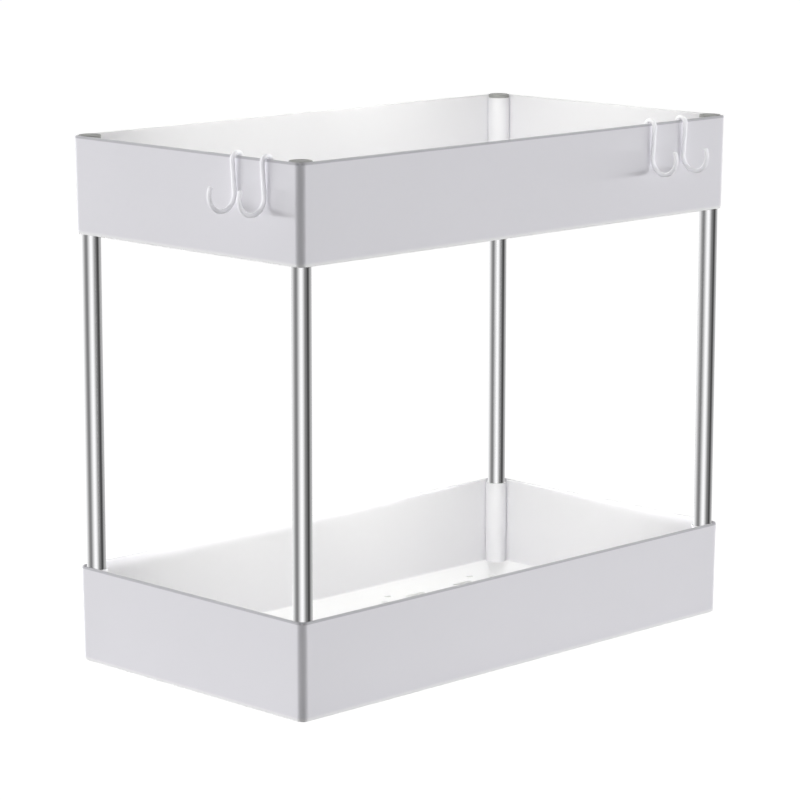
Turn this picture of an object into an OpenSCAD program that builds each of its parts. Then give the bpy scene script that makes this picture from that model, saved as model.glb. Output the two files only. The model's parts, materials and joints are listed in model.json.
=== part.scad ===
// Two-tier under-sink organizer: two moulded trays on four steel tubes, with hooks on the rim.
// Millimetres. X runs along the long walls, the front long wall faces -Y, +Z is up.
// The origin is the centre of the lower tray's flat underside.

/* [Trays] */
// Outside length of a tray at its rim
tray_l = 400; // [330:5:520]
// Outside width of a tray at its rim
tray_w = 215; // [195:5:300]
// Height of a tray from underside to rim
tray_h = 64; // [50:1:90]
// Thickness of the walls, and of the full-round rim on them
wall = 2.2; // [1.8:0.1:2.8]
// Thickness of the floor
floor_t = 2.4; // [2:0.1:4]
// Outside radius of the upright corners at the rim
corner_r = 5.2; // [5:0.1:10]
// How far each wall leans in from rim to underside, so the tray leaves its mould
draft = 0.6; // [0.2:0.1:0.9]
// Radius of the lower outer edge
foot_r = 1; // [0.4:0.1:1.1]
// Radius of the fillet between floor and walls inside
fillet_r = 1.4; // [0.5:0.1:1.6]

/* [Drain slots] */
// Length of a slot from end to end
slot_l = 18; // [10:1:24]
// Width of a slot
slot_w = 4; // [2.5:0.5:6]
// Distance between slots in a row
slot_pitch = 48; // [40:1:54]
// Distance between rows
row_pitch = 34; // [24:1:36]
// Diameter of the round drain holes at the ends of the outer rows
drain_d = 5; // [3:0.5:6]
// Distance of a round hole from the middle of its field, along the row
end_hole_x = 55; // [50:1:60]
// The same for the hole that stands beyond the outer row
outer_hole_x = 42; // [36:1:46]
// Distance of that hole beyond the outer row
outer_hole_step = 10; // [8:1:14]

/* [Tubes and posts] */
// Height of the open shelf between the trays
shelf_gap = 221; // [140:1:320]
// Outside diameter of a steel tube
tube_d = 12.7; // [10:0.1:14]
// Wall of the steel tube
tube_wall = 0.8; // [0.5:0.1:1.5]
// Wall of the moulded post around the tube
post_wall = 1.1; // [0.9:0.1:1.6]
// Play between tube and post, on the radius
socket_play = 0.05; // [0.02:0.01:0.1]
// Thickness of the web that closes the post halfway up and stops the tube
web_t = 4; // [2:0.5:6]
// Diameter of the drain hole in that web
web_hole_d = 5; // [3:0.5:7]
// How far the top of a post lies below the rim
seat_drop = 2; // [1.2:0.1:3]
// Skin left between post and outer face at the underside
post_skin = 0.1; // [0.1:0.1:1]

/* [Caps and foot plugs] */
// How far a cap stands above the rim
cap_proud = 0.4; // [0:0.1:1.5]
// Bevel around the top of a cap
cap_bevel = 0.5; // [0.2:0.1:0.8]
// Play around the cap in its round seat, on the radius
cap_play = 0.1; // [0.05:0.05:0.3]
// Overlap of the cap over the post's bore, on the radius
cap_lap = 0.9; // [0.6:0.05:0.95]
// Length of the hollow stem under a cap
stem_l = 14; // [8:1:18]
// Wall of the stem
stem_wall = 1.4; // [1:0.1:2]
// Length of a rubber foot plug
plug_l = 12; // [6:1:18]
// Bevel on the inner end of stem and plug
lead_in = 0.8; // [0.3:0.1:1.2]

/* [Hooks] */
// Diameter of the hook's coated wire
wire_d = 3; // [2:0.1:4]
// How much thicker the coating lies in the bends than on the straight runs
coat_step = 0.02; // [0.01:0.01:0.1]
// Extra width inside the loop over the rim, on the radius
loop_play = 1.4; // [1:0.1:2.5]
// Outward shift of the loop against the middle of the wall
loop_shift = 0.4; // [0:0.1:0.6]
// Height of the wire above the rim at the top of the loop
hang_gap = 0.4; // [0.3:0.1:1]
// Gap between the shank and the wall where they meet
wall_gap = 0.3; // [0.2:0.1:1]
// Depth of the middle of the jaw below the rim
jaw_drop = 23; // [18:1:36]
// Radius of the jaw at the middle of the wire
jaw_r = 10.4; // [7:0.1:14]
// Angle above level at which the tip ends
tip_angle = 25; // [0:1:60]
// Length of the short leg inside the tray, below the loop
leg_l = 9.5; // [5:0.5:15]
// Distance of the first side hook from the front corner
side_hook_1 = 30; // [28:1:34]
// Distance of the second side hook from the front corner
side_hook_2 = 57; // [48:1:90]
// Distance of the first front hook from the right-hand corner
front_hook_1 = 47.5; // [34:0.5:60]
// Distance of the second front hook from the right-hand corner
front_hook_2 = 79; // [64:1:120]

/* [Hidden] */
$fn = 72;

// Left is -1 and right is 1 along X; front is -1 and back is 1 along Y
FRONT_LEFT = [-1, -1];
FRONT_RIGHT = [1, -1];
BACK_LEFT = [-1, 1];
BACK_RIGHT = [1, 1];
CORNERS = [FRONT_LEFT, FRONT_RIGHT, BACK_LEFT, BACK_RIGHT];

// Overshoot of a cutting shape past the surface that it opens
over = 1;

// Heights in the assembly
upper_z = tray_h + shelf_gap;
overall_h = upper_z + tray_h;

// Rim: a full round on top of the wall
rim_r = wall / 2;
rim_z = tray_h - rim_r;

// Post, its two blind bores and the web between them
bore_r = tube_d / 2 + socket_play;
post_r = bore_r + post_wall;
post_inset = post_r + draft + post_skin;
post_top = tray_h - seat_drop;
socket_l = (post_top - web_t) / 2;
web_top = socket_l + web_t;

// Cap and its round seat in the corner of the rim
cap_r = bore_r + cap_lap;
cap_t = seat_drop + cap_proud;
seat_r = cap_r + cap_play;
stem_r = bore_r - socket_play;

// Tube between the two webs
tube_z = web_top;
tube_l = upper_z + socket_l - web_top;

// Drain field: five staggered rows in each half of the floor
field_x = tray_l / 4;

// Hook, in its own plane: across is outward from the wall's outer face, up is from the rim
wire_r = wire_d / 2;
run_r = wire_r - coat_step;
tip_r = run_r - coat_step;
run_lap = 0.1;
loop_r = rim_r + wire_r + loop_play;
loop_c = [loop_shift - rim_r, hang_gap + wire_r - loop_r];
jaw_c = [wall_gap + wire_r + jaw_r, -jaw_drop];
reach = jaw_c - loop_c;
// Lean of the shank: the line that touches the loop on one side and the jaw on the other
shank_lean = atan2(reach[1], reach[0]) - asin((loop_r + jaw_r) / norm(reach)) + 90;
shank_top = loop_c + loop_r * [cos(shank_lean), sin(shank_lean)];
shank_end = jaw_c - jaw_r * [cos(shank_lean), sin(shank_lean)];
jaw_sweep = 180 + tip_angle - shank_lean;

// Solid disc quarter that rounds an outer edge; its flat sides face -X and +Y
module edge_round(radius) {
    intersection() {
        translate([0, radius]) circle(radius);
        square(radius);
    }
}

// Upright section through a wall, from the axis of the upright corner out to the outer face
module wall_section() {
    low = corner_r - draft;
    inside = low - wall;
    // Floor strip and the round at its outer edge
    square([low - foot_r, floor_t]);
    translate([low - foot_r, 0]) edge_round(foot_r);
    translate([low - foot_r, foot_r]) square([foot_r, floor_t - foot_r]);
    // Fillet between floor and wall
    translate([inside - fillet_r, floor_t]) difference() {
        square(fillet_r);
        translate([0, fillet_r]) circle(fillet_r);
    }
    // Leaning wall
    translate([inside, floor_t]) square([wall, fillet_r]);
    polygon([[inside, floor_t + fillet_r], [low, floor_t + fillet_r], [corner_r, rim_z],
        [corner_r - wall, rim_z]]);
    // Full round on top
    translate([corner_r - rim_r, rim_z]) intersection() {
        circle(rim_r);
        translate([-rim_r, 0]) square([wall, rim_r]);
    }
}

// Open box of the tray: four corners, four walls and the middle of the floor
module shell() {
    side_x = tray_l - 2 * corner_r;
    side_y = tray_w - 2 * corner_r;
    for (k = [0:3])
        translate([(k == 0 || k == 3 ? 1 : -1) * side_x / 2, (k < 2 ? 1 : -1) * side_y / 2, 0])
            rotate([0, 0, 90 * k]) rotate_extrude(angle = 90) wall_section();
    for (turn = [0, 180]) rotate([0, 0, turn]) {
        translate([0, side_y / 2, 0]) rotate([90, 0, 90])
            linear_extrude(height = side_x, center = true) wall_section();
        translate([side_x / 2, 0, 0]) rotate([90, 0, 0])
            linear_extrude(height = side_y, center = true) wall_section();
    }
    translate([-side_x / 2, -side_y / 2, 0]) cube([side_x, side_y, floor_t]);
}

// Places its children on a post's axis
module at_post(c) {
    translate([c[0] * (tray_l / 2 - post_inset), c[1] * (tray_w / 2 - post_inset), 0]) children();
}

// The two blind bores, the web's drain hole and the cap's seat of one post
module post_bores() {
    translate([0, 0, -over]) cylinder(r = bore_r, h = socket_l + over);
    translate([0, 0, socket_l - over]) cylinder(d = web_hole_d, h = web_t + 2 * over);
    translate([0, 0, web_top]) cylinder(r = bore_r, h = post_top - web_top + over);
    translate([0, 0, post_top]) cylinder(r = seat_r, h = seat_drop + over);
}

// Slot through the floor, round at both ends
module drain_slot() {
    run = slot_l - slot_w;
    depth = floor_t + 2 * over;
    translate([0, 0, -over]) {
        translate([-run / 2, -slot_w / 2, 0]) cube([run, slot_w, depth]);
        for (turn = [0, 180]) rotate([0, 0, turn]) translate([run / 2, 0, 0])
            rotate([0, 0, -90]) rotate_extrude(angle = 180) square([slot_w / 2, depth]);
    }
}

module drain_hole() {
    translate([0, 0, -over]) cylinder(d = drain_d, h = floor_t + 2 * over);
}

// One field of drains: rows of two and three slots in turn, with round holes at its four ends
module drain_field() {
    for (row = [-2:2]) {
        columns = row % 2 == 0 ? [-0.5, 0.5] : [-1, 0, 1];
        for (k = columns) translate([k * slot_pitch, row * row_pitch, 0]) drain_slot();
    }
    for (c = CORNERS) {
        translate([c[0] * end_hole_x, c[1] * 2 * row_pitch, 0]) drain_hole();
        translate([c[0] * outer_hole_x, c[1] * (2 * row_pitch + outer_hole_step), 0]) drain_hole();
    }
}

// The one moulding that serves as either tier
module tray() {
    difference() {
        union() {
            shell();
            for (c = CORNERS) at_post(c)
                translate([0, 0, foot_r]) cylinder(r = post_r, h = post_top - foot_r);
        }
        for (c = CORNERS) at_post(c) post_bores();
        for (s = [-1, 1]) translate([s * field_x, 0, 0]) drain_field();
    }
}

module upper_tray() {
    color("whitesmoke") translate([0, 0, upper_z]) tray();
}

module lower_tray() {
    color("whitesmoke") tray();
}

// Thin steel tube that stands on the lower web and carries the upper one
module tube(c) {
    color("silver") at_post(c) translate([0, 0, tube_z]) difference() {
        cylinder(d = tube_d, h = tube_l);
        translate([0, 0, -over]) cylinder(r = tube_d / 2 - tube_wall, h = tube_l + 2 * over);
    }
}

// Grey plug that closes the post in the corner of the upper tray's rim
module cap(c) {
    color("gray") at_post(c) translate([0, 0, upper_z + post_top]) difference() {
        union() {
            cylinder(r = cap_r, h = cap_t - cap_bevel);
            translate([0, 0, cap_t - cap_bevel]) cylinder(r1 = cap_r, r2 = cap_r - cap_bevel, h = cap_bevel);
            translate([0, 0, lead_in - stem_l]) cylinder(r = stem_r, h = stem_l - lead_in);
            translate([0, 0, -stem_l]) cylinder(r1 = stem_r - lead_in / 2, r2 = stem_r, h = lead_in);
        }
        translate([0, 0, -stem_l - over]) cylinder(r = stem_r - stem_wall, h = stem_l + over);
    }
}

// Rubber plug in the open foot of a lower post, flush with the underside
module foot(c) {
    color("dimgray") at_post(c) {
        cylinder(r = stem_r, h = plug_l - lead_in);
        translate([0, 0, plug_l - lead_in]) cylinder(r1 = stem_r, r2 = stem_r - lead_in / 2, h = lead_in);
    }
}

// Straight stretch of wire between two points of the hook's plane, let a little into its ends
module wire_run(a, b) {
    translate([a[0], a[1], 0]) rotate([0, 0, atan2(b[1] - a[1], b[0] - a[0])]) rotate([0, 90, 0])
        translate([0, 0, -run_lap]) cylinder(r = run_r, h = norm(b - a) + 2 * run_lap);
}

// Bent stretch of wire round a centre
module wire_bend(centre, radius, start, sweep) {
    translate([centre[0], centre[1], 0]) rotate([0, 0, start])
        rotate_extrude(angle = sweep) translate([radius, 0]) circle(wire_r);
}

// Rounded end of the wire at a point of the hook's plane
module wire_tip(point) {
    translate([point[0], point[1], 0]) sphere(tip_r);
}

// Hook in its own plane, across along X and up along Y: leg, loop over the rim, shank and jaw
module hook_shape() {
    $fn = 36;
    leg_top = loop_c - [loop_r, 0];
    leg_end = leg_top - [0, leg_l];
    tip = jaw_c + jaw_r * [cos(tip_angle), sin(tip_angle)];
    wire_tip(leg_end);
    wire_run(leg_end, leg_top);
    wire_bend(loop_c, loop_r, shank_lean, 180 - shank_lean);
    wire_run(shank_end, shank_top);
    wire_bend(jaw_c, jaw_r, 180 + shank_lean, jaw_sweep);
    wire_tip(tip);
}

// Hook hung on the left wall, at a distance from the front corner
module side_hook(distance) {
    color("white") translate([-tray_l / 2, distance - tray_w / 2, overall_h])
        rotate([0, 0, 180]) rotate([90, 0, 0]) hook_shape();
}

// Hook hung on the front wall, at a distance from the right-hand corner
module front_hook(distance) {
    color("white") translate([tray_l / 2 - distance, -tray_w / 2, overall_h])
        rotate([0, 0, -90]) rotate([90, 0, 0]) hook_shape();
}

upper_tray();
lower_tray();
tube(FRONT_LEFT);  // tube_front_left
tube(FRONT_RIGHT);  // tube_front_right
tube(BACK_LEFT);  // tube_back_left
tube(BACK_RIGHT);  // tube_back_right
cap(FRONT_LEFT);  // cap_front_left
cap(FRONT_RIGHT);  // cap_front_right
cap(BACK_LEFT);  // cap_back_left
cap(BACK_RIGHT);  // cap_back_right
foot(FRONT_LEFT);  // foot_front_left
foot(FRONT_RIGHT);  // foot_front_right
foot(BACK_LEFT);  // foot_back_left
foot(BACK_RIGHT);  // foot_back_right
side_hook(side_hook_1);  // side_hook_front
side_hook(side_hook_2);  // side_hook_rear
front_hook(front_hook_1);  // front_hook_outer
front_hook(front_hook_2);  // front_hook_inner
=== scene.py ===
"""Two-tier under-sink organizer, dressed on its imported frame.

Each group of pieces has its own operator. The run at the end calls them in order.
"""

import json
import math
import bpy
from bpy.props import FloatProperty, FloatVectorProperty, IntProperty, PointerProperty
from mathutils import Matrix, Vector

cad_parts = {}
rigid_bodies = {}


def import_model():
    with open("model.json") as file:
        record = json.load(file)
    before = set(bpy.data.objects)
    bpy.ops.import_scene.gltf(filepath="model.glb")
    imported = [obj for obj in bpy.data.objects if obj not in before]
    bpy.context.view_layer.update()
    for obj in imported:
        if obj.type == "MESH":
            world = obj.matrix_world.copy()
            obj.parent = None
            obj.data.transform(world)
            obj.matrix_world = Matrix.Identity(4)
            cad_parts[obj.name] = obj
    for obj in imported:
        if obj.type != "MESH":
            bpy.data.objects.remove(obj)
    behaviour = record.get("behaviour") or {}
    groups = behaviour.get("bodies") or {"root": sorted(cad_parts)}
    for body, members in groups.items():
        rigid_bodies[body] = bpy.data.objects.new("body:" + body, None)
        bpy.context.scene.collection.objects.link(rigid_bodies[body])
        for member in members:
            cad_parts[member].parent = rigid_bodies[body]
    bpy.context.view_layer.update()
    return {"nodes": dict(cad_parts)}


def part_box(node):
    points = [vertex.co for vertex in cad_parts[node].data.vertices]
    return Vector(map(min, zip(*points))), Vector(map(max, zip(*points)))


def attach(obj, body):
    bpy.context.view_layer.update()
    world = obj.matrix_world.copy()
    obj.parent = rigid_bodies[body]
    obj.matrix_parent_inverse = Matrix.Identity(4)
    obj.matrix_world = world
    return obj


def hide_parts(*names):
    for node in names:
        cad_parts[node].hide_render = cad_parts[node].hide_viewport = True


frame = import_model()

bl_info = {
    "name": "Under-sink organizer",
    "version": (1, 0, 0),
    "blender": (4, 5, 0),
    "location": "View3D > Sidebar > Organizer",
    "description": "Two moulded trays on steel tubes, with caps, foot plugs and rim hooks",
    "category": "Object",
}


# Sizes taken from the frame

def extent(node):
    """Size and middle of a node of the frame."""
    low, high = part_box(node)
    return high - low, (high + low) / 2


TRAY_SIZE = extent("lower_tray")[0]
UPPER_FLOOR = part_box("upper_tray")[0].z
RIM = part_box("upper_tray")[1].z
TUBE_SIZE, TUBE_MIDDLE = extent("tube_front_left")
CAP_SIZE = extent("cap_front_left")[0]
CAP_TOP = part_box("cap_front_left")[1].z
POST_X, POST_Y = -TUBE_MIDDLE.x, -TUBE_MIDDLE.y
CORNERS = {"front_left": (-1, -1), "front_right": (1, -1),
           "back_left": (-1, 1), "back_right": (1, 1)}

# Distance within which two places count as the same, distance within which points are merged,
# least upright share of its normal with which a face counts as level, and the angle up to which
# edges are shaded smooth
TINY = 1e-5
MERGE = 1e-6
LEVEL = 0.99
SMOOTH_ANGLE = math.radians(35)

# Segments of the rounded edges, and the sides and steps of round pieces
CORNER_SEGMENTS, RIM_SEGMENTS, EDGE_SEGMENTS, SOFT_SEGMENTS = 12, 5, 4, 2
DRAIN_SIDES, TUBE_SIDES, WIRE_SIDES = 30, 96, 24
LOOP_STEPS, JAW_STEPS = 26, 44
# Angles from the tip of a wire, in degrees, at which its rounded end has a ring of points
TIP_RINGS = (12, 34, 56, 78, 90)

# How far a cutter reaches past what it cuts
PAST = 0.001
# Share of the wall that each half of the rounded rim takes, just short of the middle
RIM_HALF = 0.48
# Softened edge of a post's top
POST_EDGE = 0.0003
# Dish in a cap: inset as a share of the cap's radius, depth, and size of its bottom
DISH_INSET, DISH_DEPTH, DISH_BOTTOM = 0.2, 0.00025, 0.95
# End of a cap's stem: height and depth of its chamfer, and its wall, which its roof has too
STEM_CHAMFER, STEM_TAPER, STEM_WALL = 0.0008, 0.0004, 0.001


def length(name, text, default):
    """A size property."""
    return FloatProperty(name=name, description=text, default=default, unit="LENGTH", precision=5)


def colour(name, text, default):
    """A colour property."""
    return FloatVectorProperty(name=name, description=text, default=default, subtype="COLOR",
                               size=3, min=0, max=1)


class OrganizerSizes(bpy.types.PropertyGroup):
    """Sizes of the pieces."""

    tray_length: length("Tray length", "Outside length of a tray at its rim", TRAY_SIZE.x)
    tray_width: length("Tray width", "Outside width of a tray at its rim", TRAY_SIZE.y)
    tray_height: length("Tray height", "Height of a tray from underside to rim", TRAY_SIZE.z)
    wall: length("Wall", "Thickness of a tray's walls", 0.0022)
    floor: length("Floor", "Thickness of a tray's floor", 0.0024)
    lean: length("Lean", "How far a wall leans in at the underside", 0.0006)
    corner: length("Corner radius", "Outside radius of a tray's upright corners", 0.0052)
    lower_edge: length("Lower edge", "Radius of the outer edge under a tray", 0.001)
    fillet: length("Fillet", "Radius between floor and walls inside a tray", 0.0014)
    slot_length: length("Slot length", "Length of a drain slot", 0.018)
    slot_width: length("Slot width", "Width of a drain slot", 0.004)
    slot_pitch: length("Slot pitch", "Distance between slots in a row", 0.048)
    row_pitch: length("Row pitch", "Distance between rows of slots", 0.034)
    drain: length("Round drain", "Diameter of the round drain holes", 0.005)
    end_hole: length("End hole", "Distance of a round hole from the middle of its field", 0.055)
    outer_hole: length("Outer hole", "The same for the hole beyond the outer row", 0.042)
    outer_step: length("Outer step", "Distance of that hole beyond the outer row", 0.010)
    countersink: length("Slot lip", "Width of the softened edge around a drain", 0.0004)
    post: length("Post radius", "Outside radius of a corner post", 0.0075)
    bore: length("Bore radius", "Radius of the bore in a post", 0.0064)
    seat: length("Seat radius", "Radius of the round seat of a cap", 0.0074)
    seat_drop: length("Seat depth", "Depth of the post's top below the rim", 0.002)
    web: length("Web", "Thickness of the web inside a post", 0.004)
    web_hole: length("Web hole", "Radius of the drain hole in the web", 0.0025)
    tube_wall: length("Tube wall", "Thickness of the steel tube", 0.0008)
    cap_round: length("Cap edge", "Rounding of a cap's upper edge", 0.0005)
    stem: length("Stem length", "Length of the stem under a cap", 0.014)
    wire: length("Wire radius", "Radius of a hook's coated wire", 0.0015)
    loop: length("Loop radius", "Radius of the loop over the rim", 0.004)
    loop_shift: length("Loop shift", "Distance of the loop's centre inside the wall's outer face",
                       0.0007)
    hang_gap: length("Hang gap", "Height of the loop above the rim", 0.0004)
    jaw: length("Jaw radius", "Radius of a hook's open jaw", 0.0104)
    jaw_out: length("Jaw reach", "Distance of the jaw's centre from the wall", 0.0122)
    jaw_drop: length("Jaw drop", "Depth of the jaw's centre below the rim", 0.023)
    leg: length("Leg length", "Length of the leg inside the tray", 0.0095)
    tip_angle: FloatProperty(name="Tip angle", subtype="ANGLE", default=math.radians(25),
                             description="Angle above level at which the jaw ends")
    sides: IntProperty(name="Sides", description="Sides of the round pieces", default=64, min=16)


class OrganizerColours(bpy.types.PropertyGroup):
    """Colours of the finishes."""

    plastic: colour("Tray", "White moulded plastic", (0.828, 0.82, 0.861))
    plastic_shade: colour("Tray shade", "Slightly darker patches in the plastic",
                          (0.80, 0.792, 0.832))
    # Rim: painted shade, a darker grey laid over the outer half of the rim
    rim: colour("Rim", "Painted shade along the outer rim", (0.56, 0.555, 0.59))
    # Lower edge: painted light, a paler band on the lower outer edge as if lit from below
    lower_edge: colour("Lower edge", "Painted light along the lower outer edge", (0.97, 0.97, 0.97))
    steel: colour("Steel", "Polished tube", (0.86, 0.86, 0.87))
    steel_shade: colour("Steel shade", "Handled parts of the tube", (0.80, 0.80, 0.81))
    cap: colour("Cap", "Grey plastic of the caps", (0.36, 0.36, 0.36))
    cap_shade: colour("Cap shade", "Darker patches on the caps", (0.31, 0.31, 0.31))
    rubber: colour("Rubber", "Foot plugs", (0.08, 0.08, 0.085))
    rubber_shade: colour("Rubber shade", "Dusty patches on the plugs", (0.12, 0.12, 0.12))
    coating: colour("Hook coating", "White coating on the hooks", (0.87, 0.865, 0.9))
    coating_shade: colour("Coating shade", "Slightly darker patches in it", (0.81, 0.805, 0.84))
    floor: colour("Ground", "Pale ground under the rack", (0.4, 0.4, 0.4))


# Work on meshes

def only(obj):
    """Leave edit mode and make one object the only one selected."""
    if bpy.context.object and bpy.context.object.mode != "OBJECT":
        bpy.ops.object.mode_set(mode="OBJECT")
    bpy.ops.object.select_all(action="DESELECT")
    if obj:
        bpy.context.view_layer.objects.active = obj
        obj.select_set(True)


def choose(obj, kind, test):
    """Open a mesh in edit mode with the vertices, edges or faces selected that pass the test."""
    only(obj)
    mesh = obj.data
    points = [v.co.copy() for v in mesh.vertices]
    for items in (mesh.vertices, mesh.edges, mesh.polygons):
        items.foreach_set("select", [False] * len(items))
    chosen = 0
    if kind == "VERT":
        for v in mesh.vertices:
            v.select = bool(test(v.co))
            chosen += v.select
    elif kind == "EDGE":
        for e in mesh.edges:
            e.select = bool(test(points[e.vertices[0]], points[e.vertices[1]]))
            chosen += e.select
    else:
        for f in mesh.polygons:
            f.select = bool(test(f.center, f.normal))
            chosen += f.select
    if not chosen:
        raise RuntimeError(f"nothing was found to select on {obj.name}")
    bpy.context.tool_settings.mesh_select_mode = [kind == k for k in ("VERT", "EDGE", "FACE")]
    bpy.ops.object.mode_set(mode="EDIT")


def settle(obj):
    """Put an object's place, turn and size into its mesh."""
    only(obj)
    bpy.ops.object.transform_apply(location=True, rotation=True, scale=True)


def cylinder(name, radius, low, high, sides):
    """Upright cylinder between two heights."""
    only(None)
    bpy.ops.mesh.primitive_cylinder_add(vertices=sides, radius=radius, depth=high - low,
                                        location=(0, 0, (low + high) / 2))
    made = bpy.context.object
    made.name = name
    settle(made)
    return made


def push(step):
    """Extrude what is selected along a step."""
    bpy.ops.mesh.extrude_region_move(TRANSFORM_OT_translate={"value": tuple(step)})


def widen(factor, centre):
    """Scale what is selected in the plane, around a centre."""
    x, y = factor if isinstance(factor, tuple) else (factor, factor)
    bpy.ops.transform.resize(value=(x, y, 1), center_override=tuple(centre))


def copy_to(obj, name, matrix):
    """Copy of a finished piece with its own mesh, moved by a matrix."""
    twin = obj.copy()
    twin.data = obj.data.copy()
    twin.name = twin.data.name = name
    bpy.context.collection.objects.link(twin)
    twin.data.transform(matrix)
    return twin


def join(parts, name):
    """Join objects into one."""
    only(parts[0])
    for part in parts[1:]:
        part.select_set(True)
    if len(parts) > 1:
        bpy.ops.object.join()
    parts[0].name = parts[0].data.name = name
    return parts[0]


def combine(obj, tool, how):
    """Unite an object with another, or cut the other out of it."""
    only(obj)
    step = obj.modifiers.new(how.title(), "BOOLEAN")
    step.operation = how
    step.solver = "EXACT"
    step.object = tool
    bpy.ops.object.modifier_apply(modifier=step.name)
    bpy.data.objects.remove(tool)


def smooth(obj):
    """Smooth shading with crisp edges, and flat faces that stay flat."""
    only(obj)
    bpy.ops.object.shade_smooth_by_angle(angle=SMOOTH_ANGLE)
    step = obj.modifiers.new("Flat faces", "WEIGHTED_NORMAL")
    step.keep_sharp = True
    bpy.ops.object.modifier_apply(modifier=step.name)


def outward(obj):
    """Turn every face of a mesh outwards."""
    choose(obj, "FACE", lambda c, n: True)
    bpy.ops.mesh.remove_doubles(threshold=MERGE)
    bpy.ops.mesh.normals_make_consistent(inside=False)
    bpy.ops.object.mode_set(mode="OBJECT")


def dress(obj, finish, body, slot, *nodes):
    """Give a piece its material and body, and hide the nodes that it stands for."""
    obj.data.materials.clear()
    obj.data.materials.append(finish)
    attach(obj, body)
    if nodes:
        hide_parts(*nodes)


# Shader node groups and materials

# A Mix node's float factor, its two colours, and the colour that it puts out, by socket number
MIX_FACTOR, MIX_FIRST, MIX_SECOND, MIX_RESULT = 0, 6, 7, 2
WHITE = (1, 1, 1, 1)


def feed(tree, socket, value):
    """Link an input to the socket given, or set it to the value given."""
    if isinstance(value, bpy.types.NodeSocket):
        tree.links.new(value, socket)
    else:
        socket.default_value = value


def add(tree, kind, settings=None, **inputs):
    """New node with its settings and socket values."""
    made = tree.nodes.new(kind)
    for key, value in (settings or {}).items():
        setattr(made, key, value)
    for key, value in inputs.items():
        feed(tree, made.inputs[key.replace("_", " ")], value)
    return made


def mixed(tree, factor, first, second):
    """Colour between two others."""
    mix = add(tree, "ShaderNodeMix", {"data_type": "RGBA"})
    feed(tree, mix.inputs[MIX_FACTOR], factor)
    feed(tree, mix.inputs[MIX_FIRST], first)
    feed(tree, mix.inputs[MIX_SECOND], second)
    return mix.outputs[MIX_RESULT]


def chosen_shader(tree, ray, other, shader):
    """Shader for one kind of ray, and another for all the rest."""
    mix = add(tree, "ShaderNodeMixShader")
    for socket, value in zip(mix.inputs, (ray, other, shader)):
        tree.links.new(value, socket)
    return mix.outputs[0]


def group(name, inputs, outputs):
    """Empty node group with named sockets, and its input and output nodes."""
    tree = bpy.data.node_groups.new(name, "ShaderNodeTree")
    for label, kind, value in inputs:
        socket = tree.interface.new_socket(label, in_out="INPUT", socket_type=kind)
        if value is not None:
            socket.default_value = value
    for label, kind in outputs:
        tree.interface.new_socket(label, in_out="OUTPUT", socket_type=kind)
    return tree, tree.nodes.new("NodeGroupInput"), tree.nodes.new("NodeGroupOutput")


def grain_group():
    """Patches of a second colour, and a fine grain for roughness and bump."""
    found = bpy.data.node_groups.get("surface grain")
    if found:
        return found
    tree, given, out = group(
        "surface grain",
        [("Vector", "NodeSocketVector", None), ("Main", "NodeSocketColor", WHITE),
         ("Patch", "NodeSocketColor", (0.9, 0.9, 0.9, 1)), ("Patch Size", "NodeSocketFloat", 18.0),
         ("Grain Size", "NodeSocketFloat", 900.0), ("Roughness Low", "NodeSocketFloat", 0.3),
         ("Roughness High", "NodeSocketFloat", 0.4)],
        [("Colour", "NodeSocketColor"), ("Roughness", "NodeSocketFloat"),
         ("Height", "NodeSocketFloat")])
    patches = add(tree, "ShaderNodeTexNoise", Vector=given.outputs["Vector"],
                  Scale=given.outputs["Patch Size"], Detail=4.0, Roughness=0.55)
    grain = add(tree, "ShaderNodeTexNoise", Vector=given.outputs["Vector"],
                Scale=given.outputs["Grain Size"], Detail=2.0, Roughness=0.5)
    tint = mixed(tree, patches.outputs["Fac"], given.outputs["Main"], given.outputs["Patch"])
    rough = add(tree, "ShaderNodeMapRange", Value=patches.outputs["Fac"],
                To_Min=given.outputs["Roughness Low"], To_Max=given.outputs["Roughness High"])
    tree.links.new(tint, out.inputs["Colour"])
    tree.links.new(rough.outputs["Result"], out.inputs["Roughness"])
    tree.links.new(grain.outputs["Fac"], out.inputs["Height"])
    return tree


# Shares of the wall between which the rim's painted shade fades in, and share of the rim's depth
# in which it does so from below
RIM_FADE = (0.7, 0.3)
RIM_SOFT = 0.35


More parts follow.
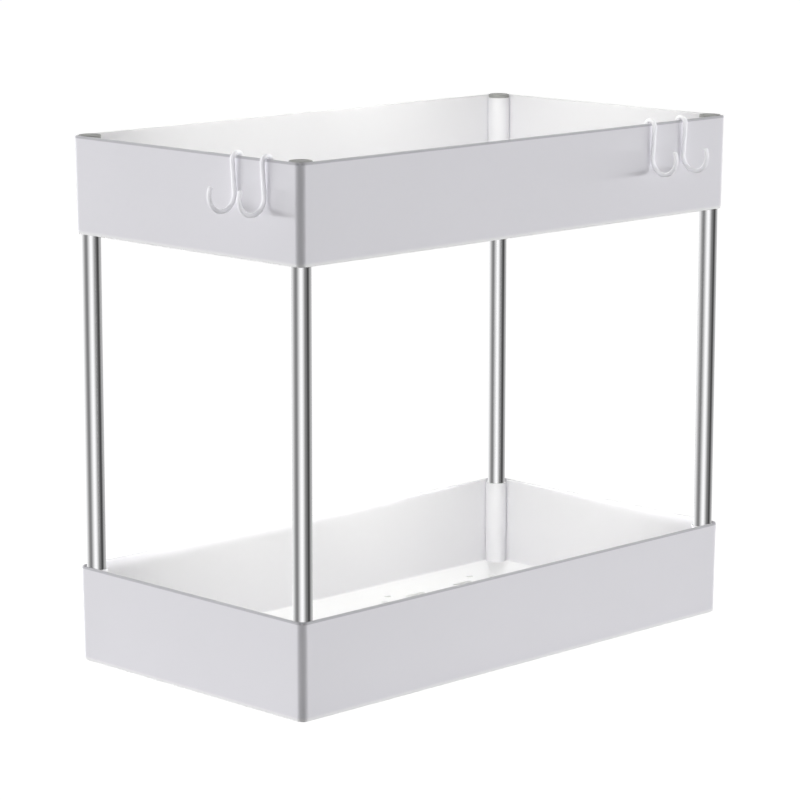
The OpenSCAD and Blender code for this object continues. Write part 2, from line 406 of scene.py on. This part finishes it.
def painted_edge_group():
    """Masks of the painted rim shade and of the painted light on a tray's lower outer edge."""
    found = bpy.data.node_groups.get("painted tray edge shading")
    if found:
        return found
    tree, given, out = group(
        "painted tray edge shading",
        [("Vector", "NodeSocketVector", None), ("Size", "NodeSocketVector", (0.4, 0.215, 0.064)),
         ("Rim Height", "NodeSocketFloat", 0.064), ("Rim Depth", "NodeSocketFloat", 0.002),
         ("Wall", "NodeSocketFloat", 0.0022), ("Edge Height", "NodeSocketFloat", 0.0034)],
        [("Rim", "NodeSocketFloat"), ("Lower Edge", "NodeSocketFloat")])

    def math_node(operation, a, b=0.0):
        made = add(tree, "ShaderNodeMath", {"operation": operation})
        for socket, value in zip(made.inputs, (a, b)):
            feed(tree, socket, value)
        return made.outputs[0]

    place = add(tree, "ShaderNodeSeparateXYZ", Vector=given.outputs["Vector"])
    size = add(tree, "ShaderNodeSeparateXYZ", Vector=given.outputs["Size"])
    depth = [math_node("SUBTRACT", math_node("MULTIPLY", size.outputs[axis], 0.5),
                       math_node("ABSOLUTE", place.outputs[axis])) for axis in "XY"]
    inset = math_node("MINIMUM", *depth)
    outer = add(tree, "ShaderNodeMapRange", {"interpolation_type": "SMOOTHSTEP"}, Value=inset,
                From_Min=math_node("MULTIPLY", given.outputs["Wall"], RIM_FADE[0]),
                From_Max=math_node("MULTIPLY", given.outputs["Wall"], RIM_FADE[1]))
    start = math_node("SUBTRACT", given.outputs["Rim Height"], given.outputs["Rim Depth"])
    soft = math_node("MULTIPLY", given.outputs["Rim Depth"], RIM_SOFT)
    top = add(tree, "ShaderNodeMapRange", {"interpolation_type": "SMOOTHSTEP"},
              Value=place.outputs["Z"], From_Min=start, From_Max=math_node("ADD", start, soft))
    tree.links.new(math_node("MULTIPLY", outer.outputs[0], top.outputs[0]), out.inputs["Rim"])
    under = math_node("SUBTRACT", given.outputs["Rim Height"], size.outputs["Z"])
    low = add(tree, "ShaderNodeMapRange", {"interpolation_type": "SMOOTHSTEP"},
              Value=math_node("SUBTRACT", place.outputs["Z"], under),
              From_Min=given.outputs["Edge Height"], From_Max=0.0)
    tree.links.new(low.outputs[0], out.inputs["Lower Edge"])
    return tree


def material(name, main, patch, patch_size, grain_size, rough, bump, metallic=0.0, edges=None,
             stretch=None):
    """Procedural finish: coloured patches, gloss between two roughnesses, and a fine bump.

    A tray's painted rim shade and painted lower-edge light, and the stretch of a tube's pattern
    along it, are given where there are any.
    """
    made = bpy.data.materials.new(name)
    made.use_nodes = True
    tree = made.node_tree
    shader = tree.nodes["Principled BSDF"]
    shader.inputs["Metallic"].default_value = metallic
    made.diffuse_color = (*main, 1)
    place = add(tree, "ShaderNodeTexCoord").outputs["Object"]
    spot = place
    if stretch:
        spot = add(tree, "ShaderNodeMapping", Vector=place, Scale=stretch).outputs["Vector"]
    grain = add(tree, "ShaderNodeGroup", {"node_tree": grain_group()}, Vector=spot,
                Main=(*main, 1), Patch=(*patch, 1), Patch_Size=patch_size, Grain_Size=grain_size,
                Roughness_Low=rough[0], Roughness_High=rough[1])
    shade = grain.outputs["Colour"]
    if edges:
        painted_edge_masks = add(tree, "ShaderNodeGroup", {"node_tree": painted_edge_group()}, Vector=place,
                    Size=edges["size"], Rim_Height=edges["rim_height"], Wall=edges["wall"])
        # Painted shade on the rim and painted light on the lower outer edge, over the plastic's
        # colour
        for mask in ("Rim", "Lower Edge"):
            shade = mixed(tree, painted_edge_masks.outputs[mask], shade, (*edges[mask], 1))
    relief = add(tree, "ShaderNodeBump", Height=grain.outputs["Height"], Strength=bump[0],
                 Distance=bump[1])
    tree.links.new(shade, shader.inputs["Base Color"])
    tree.links.new(grain.outputs["Roughness"], shader.inputs["Roughness"])
    tree.links.new(relief.outputs["Normal"], shader.inputs["Normal"])
    return made


# Pieces

def to_post(corner):
    """Move from the middle to the post at a corner."""
    side_x, side_y = CORNERS[corner]
    return Matrix.Translation((side_x * POST_X, side_y * POST_Y, 0))


def rim_inset(point, s):
    """How far a point lies inside the tray's outline, seen from above."""
    x = max(abs(point.x) - (s.tray_length / 2 - s.corner), 0)
    y = max(abs(point.y) - (s.tray_width / 2 - s.corner), 0)
    near = min(s.tray_length / 2 - abs(point.x), s.tray_width / 2 - abs(point.y))
    return s.corner - math.hypot(x, y) if x or y else near


def tray_shell(s):
    """Open box with leaning walls, round corners and a full-round rim."""
    high = s.tray_height
    only(None)
    bpy.ops.mesh.primitive_cube_add(size=1, location=(0, 0, high / 2),
                                    scale=(s.tray_length, s.tray_width, high))
    tray = bpy.context.object
    settle(tray)
    # Walls lean in towards the underside, then the upright corners are rounded
    choose(tray, "VERT", lambda p: p.z < TINY)
    widen((1 - 2 * s.lean / s.tray_length, 1 - 2 * s.lean / s.tray_width), (0, 0, 0))
    choose(tray, "EDGE", lambda a, b: abs(a.z - b.z) > high / 2)
    bpy.ops.mesh.bevel(offset=s.corner, segments=CORNER_SEGMENTS, affect="EDGES")
    # The inside is pushed down from the top face
    choose(tray, "FACE", lambda c, n: n.z > LEVEL)
    bpy.ops.mesh.inset(thickness=s.wall)
    push((0, 0, s.floor - high))
    inside = (s.tray_length - 2 * s.wall, s.tray_width - 2 * s.wall)
    widen((1 - 2 * s.lean / inside[0], 1 - 2 * s.lean / inside[1]), (0, 0, 0))
    # Rim, fillet and lower edge
    choose(tray, "EDGE", lambda a, b: min(a.z, b.z) > high - TINY
           and abs(rim_inset(a, s) - rim_inset(b, s)) < s.wall / 2)
    bpy.ops.mesh.bevel(offset=s.wall * RIM_HALF, segments=RIM_SEGMENTS, affect="EDGES")
    choose(tray, "EDGE", lambda a, b: max(abs(a.z - s.floor), abs(b.z - s.floor)) < TINY)
    bpy.ops.mesh.bevel(offset=s.fillet, segments=EDGE_SEGMENTS, affect="EDGES")
    choose(tray, "EDGE", lambda a, b: max(a.z, b.z) < TINY)
    bpy.ops.mesh.bevel(offset=s.lower_edge, segments=EDGE_SEGMENTS, affect="EDGES")
    only(tray)
    return tray


def drain_tool(s, long, wide, name):
    """Cutter for one drain, with a softened lip where it meets the floor's upper face."""
    tool = cylinder(name, wide / 2, -PAST, s.floor - s.countersink, DRAIN_SIDES)
    run = (long - wide) / 2
    if run > 0:
        for side in (-1, 1):
            choose(tool, "VERT", lambda p: p.x * side > TINY)
            bpy.ops.transform.translate(value=(side * run, 0, 0))
    choose(tool, "FACE", lambda c, n: n.z > LEVEL)
    push((0, 0, s.countersink))
    widen((1 + 2 * s.countersink / long, 1 + 2 * s.countersink / wide), (0, 0, 0))
    push((0, 0, PAST))
    only(tool)
    return tool


def drain_tools(s):
    """Cutters for all the slots and round holes of one floor."""
    slot = drain_tool(s, s.slot_length, s.slot_width, "slot_tool")
    hole = drain_tool(s, s.drain, s.drain, "hole_tool")
    tools = []
    for field in (-1, 1):
        middle = field * s.tray_length / 4
        for row in range(-2, 3):
            for k in ((-0.5, 0.5) if row % 2 == 0 else (-1, 0, 1)):
                at = (middle + k * s.slot_pitch, row * s.row_pitch, 0)
                tools.append(copy_to(slot, "slot_tool", Matrix.Translation(at)))
        outer_row = 2 * s.row_pitch
        for sx, sy in CORNERS.values():
            for x, y in ((s.end_hole, outer_row), (s.outer_hole, outer_row + s.outer_step)):
                at = (middle + sx * x, sy * y, 0)
                tools.append(copy_to(hole, "hole_tool", Matrix.Translation(at)))
    bpy.data.objects.remove(slot)
    bpy.data.objects.remove(hole)
    return join(tools, "drain_tools")


def post_tool(s):
    """Cutter for one post: blind bore, web hole, upper bore and cap seat, one above the other."""
    top = s.tray_height - s.seat_drop
    socket = (top - s.web) / 2
    tool = cylinder("post_tool", s.bore, -PAST, socket, s.sides)
    choose(tool, "FACE", lambda c, n: n.z > LEVEL)
    bpy.ops.mesh.inset(thickness=s.bore - s.web_hole)
    push((0, 0, s.web))
    push((0, 0, 0))
    widen(s.bore / s.web_hole, (0, 0, 0))
    push((0, 0, top - socket - s.web))
    push((0, 0, 0))
    widen(s.seat / s.bore, (0, 0, 0))
    push((0, 0, s.seat_drop + PAST))
    only(tool)
    return tool


def tray_piece(s):
    """One finished tray at the height of the lower tier."""
    tray = tray_shell(s)
    top = s.tray_height - s.seat_drop
    post = cylinder("post", s.post, s.lower_edge, top, s.sides)
    choose(post, "EDGE", lambda a, b: min(a.z, b.z) > top - TINY)
    bpy.ops.mesh.bevel(offset=POST_EDGE, segments=SOFT_SEGMENTS, affect="EDGES")
    only(post)
    bores = post_tool(s)
    spots = [to_post(corner) for corner in CORNERS]
    posts = join([copy_to(post, "post", m) for m in spots], "posts")
    tools = join([copy_to(bores, "post_tool", m) for m in spots], "post_tools")
    bpy.data.objects.remove(post)
    bpy.data.objects.remove(bores)
    combine(tray, posts, "UNION")
    combine(tray, tools, "DIFFERENCE")
    combine(tray, drain_tools(s), "DIFFERENCE")
    smooth(tray)
    return tray


def tube_piece(s):
    """Thin-walled tube with softened ends, upright on the middle."""
    radius = TUBE_SIZE.x / 2
    low, high = TUBE_MIDDLE.z - TUBE_SIZE.z / 2, TUBE_MIDDLE.z + TUBE_SIZE.z / 2
    tube = cylinder("tube", radius, low, high, TUBE_SIDES)
    choose(tube, "FACE", lambda c, n: abs(n.z) > LEVEL)
    bpy.ops.mesh.inset(thickness=s.tube_wall)
    bpy.ops.mesh.bridge_edge_loops()
    choose(tube, "EDGE", lambda a, b: abs(a.z - b.z) < TINY
           and abs(math.hypot(a.x, a.y) - math.hypot(b.x, b.y)) < TINY)
    bpy.ops.mesh.bevel(offset=s.tube_wall / 4, segments=SOFT_SEGMENTS, affect="EDGES")
    outward(tube)
    smooth(tube)
    return tube


def cap_piece(s):
    """Cap with a rounded edge and a shallow dish, on a hollow stem."""
    radius = CAP_SIZE.x / 2
    seat = CAP_TOP - (CAP_SIZE.z - s.stem)
    stem = TUBE_SIZE.x / 2
    cap = cylinder("cap", radius, seat, CAP_TOP, s.sides)
    choose(cap, "EDGE", lambda a, b: min(a.z, b.z) > CAP_TOP - TINY)
    bpy.ops.mesh.bevel(offset=s.cap_round, segments=EDGE_SEGMENTS, affect="EDGES")
    choose(cap, "FACE", lambda c, n: n.z > LEVEL and c.z > CAP_TOP - TINY)
    bpy.ops.mesh.inset(thickness=radius * DISH_INSET)
    push((0, 0, -DISH_DEPTH))
    widen(DISH_BOTTOM, (0, 0, 0))
    choose(cap, "FACE", lambda c, n: n.z < -LEVEL)
    bpy.ops.mesh.inset(thickness=radius - stem)
    push((0, 0, STEM_CHAMFER - s.stem))
    push((0, 0, -STEM_CHAMFER))
    widen(1 - STEM_TAPER / stem, (0, 0, 0))
    bpy.ops.mesh.inset(thickness=STEM_WALL)
    push((0, 0, s.stem - STEM_WALL))
    outward(cap)
    smooth(cap)
    return cap


def hook_piece(s):
    """Bent wire in its own plane: across along +X from the wall's outer face, up from the rim."""
    r = s.wire
    loop = Vector((-s.loop_shift, 0, s.hang_gap + r - s.loop))
    jaw = Vector((s.jaw_out, 0, -s.jaw_drop))
    reach = jaw - loop
    # The shank touches the loop on one side and the jaw on the other
    lean = math.atan2(reach.z, reach.x) - math.asin((s.loop + s.jaw) / reach.length) + math.pi / 2
    side = Vector((math.cos(lean), 0, math.sin(lean)))
    shank = (jaw - s.jaw * side) - (loop + s.loop * side)
    foot = loop + Vector((-s.loop, 0, -s.leg))
    steps = [math.radians(a) for a in TIP_RINGS]
    # Rounded end inside the tray
    at = foot - Vector((0, 0, r * math.cos(steps[0])))
    only(None)
    bpy.ops.mesh.primitive_circle_add(vertices=WIRE_SIDES, radius=r * math.sin(steps[0]),
                                      fill_type="NGON", location=at)
    hook = bpy.context.object
    settle(hook)
    choose(hook, "FACE", lambda c, n: True)
    for a, b in zip(steps, steps[1:]):
        rise = r * (math.cos(a) - math.cos(b))
        push((0, 0, rise))
        at.z += rise
        widen(math.sin(b) / math.sin(a), at)
    # Leg, loop, shank and jaw
    push((0, 0, s.leg))
    bpy.ops.mesh.spin(steps=LOOP_STEPS, angle=lean - math.pi, center=loop, axis=(0, 1, 0))
    push(shank)
    sweep = math.pi + s.tip_angle - lean
    bpy.ops.mesh.spin(steps=JAW_STEPS, angle=sweep, center=jaw, axis=(0, 1, 0))
    # Rounded tip
    facing = Vector((-math.sin(s.tip_angle), 0, math.cos(s.tip_angle)))
    at = jaw + s.jaw * Vector((math.cos(s.tip_angle), 0, math.sin(s.tip_angle)))
    ends = [math.pi / 2 - a for a in reversed(steps)]
    for a, b in zip(ends, ends[1:]):
        step = r * (math.sin(b) - math.sin(a)) * facing
        push(step)
        at += step
        size = math.cos(b) / math.cos(a)
        bpy.ops.transform.resize(value=(size, size, size), center_override=tuple(at))
    outward(hook)
    hook.name = "hook"
    only(hook)
    bpy.ops.object.shade_smooth()
    return hook


# Operators

class OrganizerOperator(bpy.types.Operator):
    """Shared settings of the operators."""

    bl_options = {"REGISTER", "UNDO"}


class ORGANIZER_OT_trays(OrganizerOperator):
    """Mould the two trays with their posts and drains"""

    bl_idname = "organizer.trays"
    bl_label = "Trays"

    def execute(self, context):
        s, c = context.scene.organizer_sizes, context.scene.organizer_colours
        lower = tray_piece(s)
        upper = copy_to(lower, "upper_tier", Matrix.Translation((0, 0, UPPER_FLOOR)))
        lower.name = lower.data.name = "lower_tier"
        for piece, node, rim in ((lower, "lower_tray", s.tray_height), (upper, "upper_tray", RIM)):
            # The tray's finish carries painted shade on the rim and painted light on its lower edge
            edges = {"size": (s.tray_length, s.tray_width, s.tray_height), "rim_height": rim,
                     "wall": s.wall, "Rim": c.rim, "Lower Edge": c.lower_edge}
            finish = material(f"white plastic, {piece.name}", c.plastic, c.plastic_shade,
                              patch_size=14, grain_size=1400, rough=(0.30, 0.40),
                              bump=(0.06, 0.0002), edges=edges)
            dress(piece, finish, "rack", "tray", node)
            piece.visible_glossy = False
        return {"FINISHED"}


class ORGANIZER_OT_tubes(OrganizerOperator):
    """Make the four steel tubes"""

    bl_idname = "organizer.tubes"
    bl_label = "Tubes"

    def execute(self, context):
        s, c = context.scene.organizer_sizes, context.scene.organizer_colours
        steel = material("polished steel", c.steel, c.steel_shade, patch_size=30, grain_size=900,
                         rough=(0.10, 0.16), bump=(0.03, 0.0001), metallic=1.0,
                         stretch=(1, 1, 0.04))
        tube = tube_piece(s)
        for corner in CORNERS:
            made = copy_to(tube, f"steel_{corner}", to_post(corner))
            dress(made, steel, "rack", "tube", f"tube_{corner}")
        bpy.data.objects.remove(tube)
        return {"FINISHED"}


class ORGANIZER_OT_caps(OrganizerOperator):
    """Make the four grey caps of the upper tray"""

    bl_idname = "organizer.caps"
    bl_label = "Caps"

    def execute(self, context):
        s, c = context.scene.organizer_sizes, context.scene.organizer_colours
        grey = material("grey plastic", c.cap, c.cap_shade, patch_size=120, grain_size=2600,
                        rough=(0.42, 0.55), bump=(0.1, 0.0002))
        cap = cap_piece(s)
        for corner in CORNERS:
            made = copy_to(cap, f"plug_{corner}", to_post(corner))
            dress(made, grey, "rack", "cap", f"cap_{corner}")
        bpy.data.objects.remove(cap)
        return {"FINISHED"}


class ORGANIZER_OT_feet(OrganizerOperator):
    """Give the foot plugs of the frame their rubber"""

    bl_idname = "organizer.feet"
    bl_label = "Foot plugs"

    def execute(self, context):
        c = context.scene.organizer_colours
        rubber = material("rubber", c.rubber, c.rubber_shade, patch_size=160, grain_size=2200,
                          rough=(0.7, 0.9), bump=(0.2, 0.0003))
        for corner in CORNERS:
            plug = frame["nodes"][f"foot_{corner}"]
            plug.data.materials.clear()
            plug.data.materials.append(rubber)
        return {"FINISHED"}


class ORGANIZER_OT_hooks(OrganizerOperator):
    """Bend the four hooks and hang them on the rim"""

    bl_idname = "organizer.hooks"
    bl_label = "Hooks"

    def execute(self, context):
        s, c = context.scene.organizer_sizes, context.scene.organizer_colours
        coating = material("white coating", c.coating, c.coating_shade, patch_size=60,
                           grain_size=2200, rough=(0.25, 0.38), bump=(0.08, 0.0002))
        hook = hook_piece(s)
        for node in ("side_hook_front", "side_hook_rear", "front_hook_outer", "front_hook_inner"):
            middle = extent(node)[1]
            if node.startswith("side"):
                place, turn = (-s.tray_length / 2, middle.y, RIM), math.pi
            else:
                place, turn = (middle.x, -s.tray_width / 2, RIM), -math.pi / 2
            matrix = Matrix.Translation(place) @ Matrix.Rotation(turn, 4, "Z")
            made = copy_to(hook, f"wire_{node}", matrix)
            dress(made, coating, node, "hook", node)
        bpy.data.objects.remove(hook)
        return {"FINISHED"}


class ORGANIZER_OT_stage(OrganizerOperator):
    """Set the ground, the light and the camera"""

    bl_idname = "organizer.stage"
    bl_label = "Stage"

    def execute(self, context):
        ground(context.scene.organizer_colours)
        sky(context.scene)
        lamps(context.scene)
        photo_camera(context.scene)
        context.scene.view_settings.view_transform = "Standard"
        return {"FINISHED"}


# Stage

# The photograph's camera
VIEW_YAW = math.radians(44.908)
VIEW_PITCH = math.radians(10.8325)
VIEW_ROLL = math.radians(0.0746)
VIEW_PLACE = (-1.56653, -1.56367, 0.58641)
FOCAL_PIXELS, PICTURE_PIXELS, SENSOR = 3341.37, 800, 36

# Ground: a diffuse grey that takes the shadow and a glow that lifts it to white for the camera,
# and the share of its colour that its patches have
GROUND_SIZE, GROUND_DROP = 60, 0.0002
GROUND_GREY, GROUND_GLOW = (0.24, 0.24, 0.24, 1), 0.98
GROUND_PATCH = 0.96

# Softboxes on both sides, by angle to the right of the viewer, in metres and watts
SIDE_LEFT, SIDE_RIGHT = math.radians(-93), math.radians(93)
SIDE_DISTANCE, SIDE_HEIGHT = 9, 0.12
SIDE_LENGTH, SIDE_DEPTH = 10.5, 0.4
LEFT_POWER, RIGHT_POWER = 1320, 1225
# Share of them that the hooks stop; the rest passes the hooks and keeps their shadows faint
SHADED = 0.55

# Front light that reaches only the hooks: strength, width as an angle, and slope from above
HOOK_POWER = 1.95
HOOK_ANGLE = math.radians(40)
HOOK_RISE = 0.15

# A soft lamp over each tray, and three strips over its rim that shine along it on its far walls,
# with heights from its underside. The upper ones are stronger by UPPER_SHARE.
LAMP_COLOUR = (0.99, 1, 0.925)
UPPER_SHARE = 1.1
OVER_POWER, OVER_HEIGHT = 0.6, 0.28
OVER_LONG, OVER_WIDE = TRAY_SIZE.x * 0.9, TRAY_SIZE.y * 0.85
STRIP_HEIGHT, STRIP_DEPTH, STRIP_FALL = 0.1, 0.03, 0.2
STRIP_SPREAD = math.radians(120)
STRIP_LONG, STRIP_WIDE = TRAY_SIZE.x * 0.9, TRAY_SIZE.y * 0.84
FRONT_POWER, END_POWER, MIDDLE_POWER = 0.09, 0.036, 0.038
FRONT_INSET, END_INSET = 0.0125, 0.02

# Soft fill for all but the camera and polished metal, and the strength of what the metal reflects
FILL_COLOUR, FILL_POWER = (0.98, 0.98, 1.0, 1), 0.12
STUDIO_POWER = 1.2
# Studio cards that polished metal reflects, by angle to the right of the viewer and brightness:
# white in front and behind, grey on the left, dark on the right
STUDIO = [(-180, 1.0), (-140, 0.9), (-60, 0.2), (0, 1.0), (50, 0.2), (80, 0.05), (125, 0.45),
          (150, 0.45), (180, 1.0)]


def ground(c):
    """Pale ground that shows white, with the object's faint shadow on it."""
    only(None)
    bpy.ops.mesh.primitive_plane_add(size=GROUND_SIZE, location=(0, 0, -GROUND_DROP))
    plane = bpy.context.object
    plane.name = "ground"
    settle(plane)
    plane.visible_glossy = False
    finish = bpy.data.materials.new("ground")
    finish.use_nodes = True
    tree = finish.node_tree
    tree.nodes.clear()
    place = add(tree, "ShaderNodeTexCoord").outputs["Object"]
    grain = add(tree, "ShaderNodeTexNoise", Vector=place, Scale=3.0, Detail=3.0)
    patch = [v * GROUND_PATCH for v in c.floor]
    tint = mixed(tree, grain.outputs["Fac"], (*c.floor, 1), (*patch, 1))
    plain = add(tree, "ShaderNodeBsdfDiffuse", Color=tint)
    shown = add(tree, "ShaderNodeBsdfDiffuse", Color=GROUND_GREY)
    glow = add(tree, "ShaderNodeEmission", Color=WHITE, Strength=GROUND_GLOW)
    white = add(tree, "ShaderNodeAddShader")
    tree.links.new(shown.outputs[0], white.inputs[0])
    tree.links.new(glow.outputs[0], white.inputs[1])
    ray = add(tree, "ShaderNodeLightPath")
    seen = chosen_shader(tree, ray.outputs["Is Camera Ray"], plain.outputs[0], white.outputs[0])
    out = add(tree, "ShaderNodeOutputMaterial")
    tree.links.new(seen, out.inputs["Surface"])
    plane.data.materials.append(finish)


def sky(scene):
    """White surroundings for the camera, graded ones for polished metal, soft fill for the rest."""
    world = bpy.data.worlds.new("studio")
    scene.world = world
    world.use_nodes = True
    tree = world.node_tree
    tree.nodes.clear()
    way = add(tree, "ShaderNodeTexCoord").outputs["Generated"]
    turned = add(tree, "ShaderNodeVectorRotate", {"rotation_type": "Z_AXIS"}, Vector=way,
                 Angle=math.pi / 2 + VIEW_YAW)
    split = add(tree, "ShaderNodeSeparateXYZ", Vector=turned.outputs["Vector"])
    angle = add(tree, "ShaderNodeMath", {"operation": "ARCTAN2"})
    tree.links.new(split.outputs["Y"], angle.inputs[0])
    tree.links.new(split.outputs["X"], angle.inputs[1])
    share = add(tree, "ShaderNodeMapRange", Value=angle.outputs[0], From_Min=-math.pi,
                From_Max=math.pi)
    ramp = add(tree, "ShaderNodeValToRGB", Fac=share.outputs["Result"])
    ramp.color_ramp.interpolation = "EASE"
    stops = ramp.color_ramp.elements
    while len(stops) > 1:
        stops.remove(stops[0])
    stops[0].position = 0
    stops[0].color = (*[STUDIO[0][1]] * 3, 1)
    for degrees, level in STUDIO[1:]:
        stops.new((degrees + 180) / 360).color = (level, level, level, 1)
    fill = add(tree, "ShaderNodeBackground", Color=FILL_COLOUR, Strength=FILL_POWER)
    bands = add(tree, "ShaderNodeBackground", Color=ramp.outputs["Color"], Strength=STUDIO_POWER)
    white = add(tree, "ShaderNodeBackground", Color=WHITE, Strength=1.0)
    ray = add(tree, "ShaderNodeLightPath")
    glossy = chosen_shader(tree, ray.outputs["Is Glossy Ray"], fill.outputs[0], bands.outputs[0])
    seen = chosen_shader(tree, ray.outputs["Is Camera Ray"], glossy, white.outputs[0])
    out = add(tree, "ShaderNodeOutputWorld")
    tree.links.new(seen, out.inputs["Surface"])


def softbox(scene, name, wide, high, power):
    """Rectangular lamp that neither the camera nor polished metal sees."""
    lamp = bpy.data.lights.new(name, "AREA")
    lamp.shape = "RECTANGLE"
    lamp.size, lamp.size_y = wide, high
    lamp.energy = power
    made = bpy.data.objects.new(name, lamp)
    made.visible_camera = made.visible_glossy = False
    scene.collection.objects.link(made)
    return made


def linked(name, objects, state):
    """Collection that names the objects which a lamp lights, or which let its light by."""
    made = bpy.data.collections.new(name)
    for obj in objects:
        made.objects.link(obj)
    for entry in made.collection_objects:
        entry.light_linking.link_state = state
    return made


def side_lights(scene, hooks):
    """A long low softbox on each side, part of which passes the hooks."""
    for name, side, power in (("left", SIDE_LEFT, LEFT_POWER), ("right", SIDE_RIGHT, RIGHT_POWER)):
        turn = math.pi + VIEW_YAW - side
        flat = Vector((math.sin(turn), math.cos(turn), 0))
        for kind, share in (("light", SHADED), ("fill", 1 - SHADED)):
            made = softbox(scene, f"{name}_{kind}", SIDE_LENGTH, SIDE_DEPTH, power * share)
            made.location = flat * SIDE_DISTANCE + Vector((0, 0, SIDE_HEIGHT))
            made.rotation_euler = flat.to_track_quat("Z", "Y").to_euler()
            if kind == "fill":
                passed = linked("thin wire lets light by", hooks, "EXCLUDE")
                made.light_linking.blocker_collection = passed


def hook_light(scene, hooks):
    """Soft light from the front for the hooks alone."""
    front = bpy.data.lights.new("hook_light", "SUN")
    front.energy = HOOK_POWER
    front.angle = HOOK_ANGLE
    made = bpy.data.objects.new("hook_light", front)
    scene.collection.objects.link(made)
    toward = Vector((-math.sin(VIEW_YAW), -math.cos(VIEW_YAW), HOOK_RISE))
    made.rotation_euler = toward.to_track_quat("Z", "Y").to_euler()
    made.light_linking.receiver_collection = linked("lit from the front", hooks, "INCLUDE")


def tray_lamps(scene, tier, floor, share):
    """Soft lamp over one tray, and strips over its rim that shine along it."""
    over = softbox(scene, f"{tier}_lamp", OVER_LONG, OVER_WIDE, OVER_POWER * share)
    over.location = (0, 0, floor + OVER_HEIGHT)
    over.data.color = LAMP_COLOUR
    for side, long, place, facing, power in (
            ("front", STRIP_LONG, (0, FRONT_INSET - TRAY_SIZE.y / 2), (0, 1), FRONT_POWER),
            ("end", STRIP_WIDE, (END_INSET - TRAY_SIZE.x / 2, 0), (1, 0), END_POWER),
            ("middle", STRIP_WIDE, (0, 0), (1, 0), MIDDLE_POWER)):
        strip = softbox(scene, f"{tier}_{side}_strip", long, STRIP_DEPTH, power * share)
        strip.location = (*place, floor + STRIP_HEIGHT)
        strip.rotation_euler = Vector((*facing, -STRIP_FALL)).to_track_quat("-Z", "Y").to_euler()
        strip.data.spread = STRIP_SPREAD
        strip.data.color = LAMP_COLOUR


def lamps(scene):
    """All the lamps of the stage."""
    hooks = [obj for obj in bpy.data.objects if obj.name.startswith("wire_")]
    side_lights(scene, hooks)
    hook_light(scene, hooks)
    tray_lamps(scene, "lower", 0, 1)
    tray_lamps(scene, "upper", UPPER_FLOOR, UPPER_SHARE)


def photo_camera(scene):
    """Camera at the photograph's angle."""
    lens = bpy.data.cameras.new("photo_view")
    lens.sensor_width = SENSOR
    lens.lens = FOCAL_PIXELS / PICTURE_PIXELS * SENSOR
    lens.clip_end = 100
    made = bpy.data.objects.new("photo_view", lens)
    scene.collection.objects.link(made)
    turn = (Matrix.Rotation(-VIEW_YAW, 4, "Z") @ Matrix.Rotation(math.pi / 2 - VIEW_PITCH, 4, "X")
            @ Matrix.Rotation(VIEW_ROLL, 4, "Z"))
    made.matrix_world = Matrix.Translation(VIEW_PLACE) @ turn
    scene.camera = made


class VIEW3D_PT_organizer(bpy.types.Panel):
    """Buttons, sizes and colours of the organizer"""

    bl_label = "Organizer"
    bl_idname = "VIEW3D_PT_organizer"
    bl_space_type = "VIEW_3D"
    bl_region_type = "UI"
    bl_category = "Organizer"

    def draw(self, context):
        layout = self.layout
        for operator in OPERATORS:
            layout.operator(operator.bl_idname)
        for values in (context.scene.organizer_sizes, context.scene.organizer_colours):
            box = layout.box()
            for key in values.__annotations__:
                box.prop(values, key)


OPERATORS = (ORGANIZER_OT_trays, ORGANIZER_OT_tubes, ORGANIZER_OT_caps, ORGANIZER_OT_feet,
             ORGANIZER_OT_hooks, ORGANIZER_OT_stage)
CLASSES = (OrganizerSizes, OrganizerColours, *OPERATORS, VIEW3D_PT_organizer)


def register():
    """Add the classes and their settings."""
    for cls in CLASSES:
        bpy.utils.register_class(cls)
    bpy.types.Scene.organizer_sizes = PointerProperty(type=OrganizerSizes)
    bpy.types.Scene.organizer_colours = PointerProperty(type=OrganizerColours)


def unregister():
    """Remove the settings and the classes."""
    del bpy.types.Scene.organizer_colours
    del bpy.types.Scene.organizer_sizes
    for cls in reversed(CLASSES):
        bpy.utils.unregister_class(cls)


def main():
    """Build everything."""
    register()
    bpy.ops.organizer.trays()
    bpy.ops.organizer.tubes()
    bpy.ops.organizer.caps()
    bpy.ops.organizer.feet()
    bpy.ops.organizer.hooks()
    bpy.ops.organizer.stage()
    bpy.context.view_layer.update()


if __name__ == "__main__":
    main()
